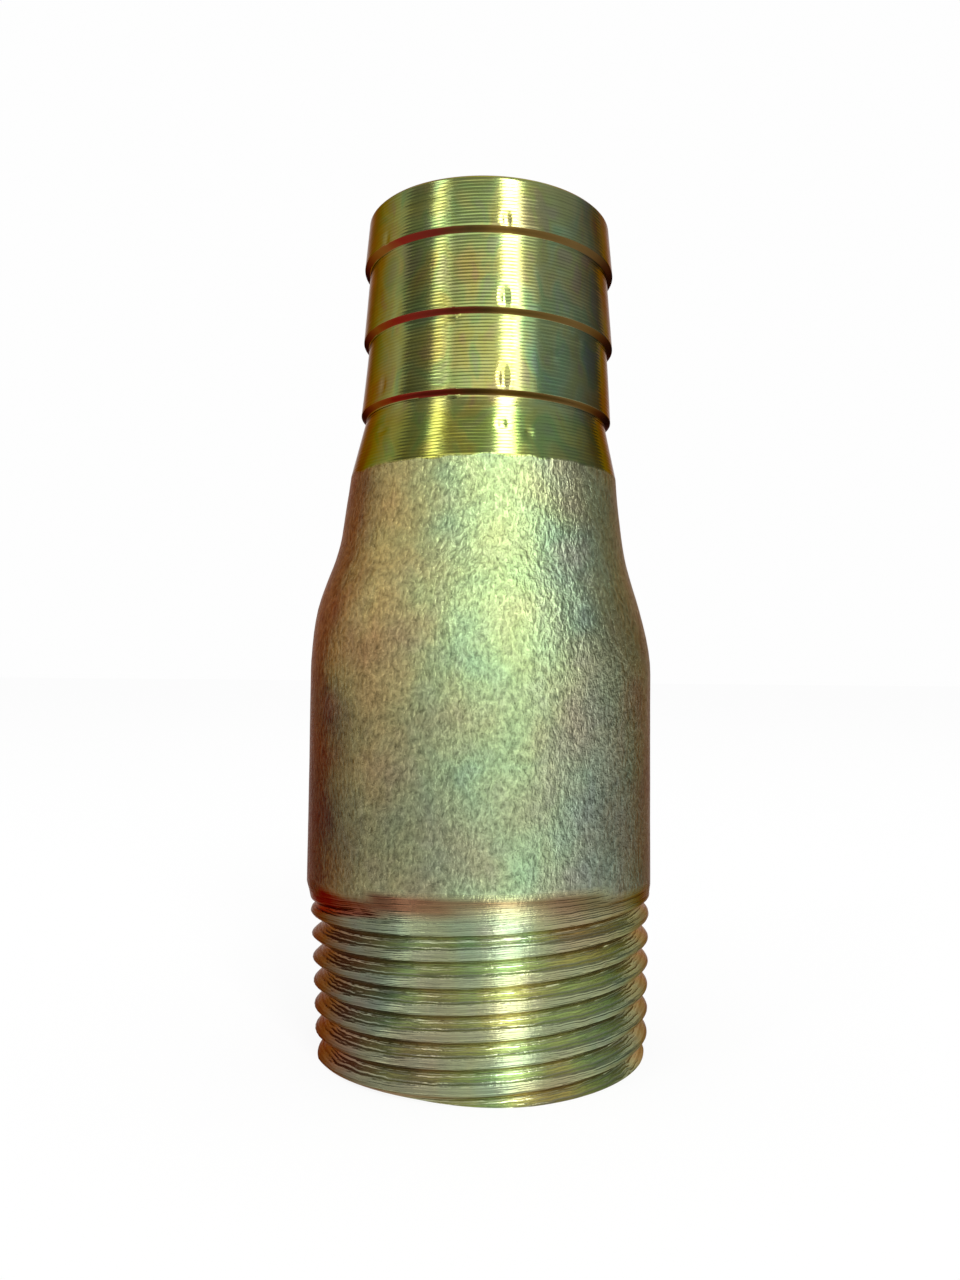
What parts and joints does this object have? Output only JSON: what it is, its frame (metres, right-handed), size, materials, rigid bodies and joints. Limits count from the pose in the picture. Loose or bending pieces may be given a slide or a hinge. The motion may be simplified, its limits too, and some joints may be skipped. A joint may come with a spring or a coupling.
{
  "type": "hose barb tail",
  "caption": "Plated steel hose tail: a barbed shank turned on a swaged neck, a plain barrel and a male taper pipe thread, bored right through.",
  "frame": {"origin": "centre of the threaded end face, where the fitting stands", "axes": "+Z along the axis from the threaded end to the hose end; the fitting is turned about Z, apart from its thread"},
  "size_m": [0.0272, 0.0272, 0.0655],
  "materials": {
    "zinc_plated_steel": "yellow chromate over zinc plate: bright turned barbs and cone, matt forged barrel, cut thread"
  },
  "bodies": {
    "root": {"hose_tail": "zinc_plated_steel"}
  },
  "joints": []
}
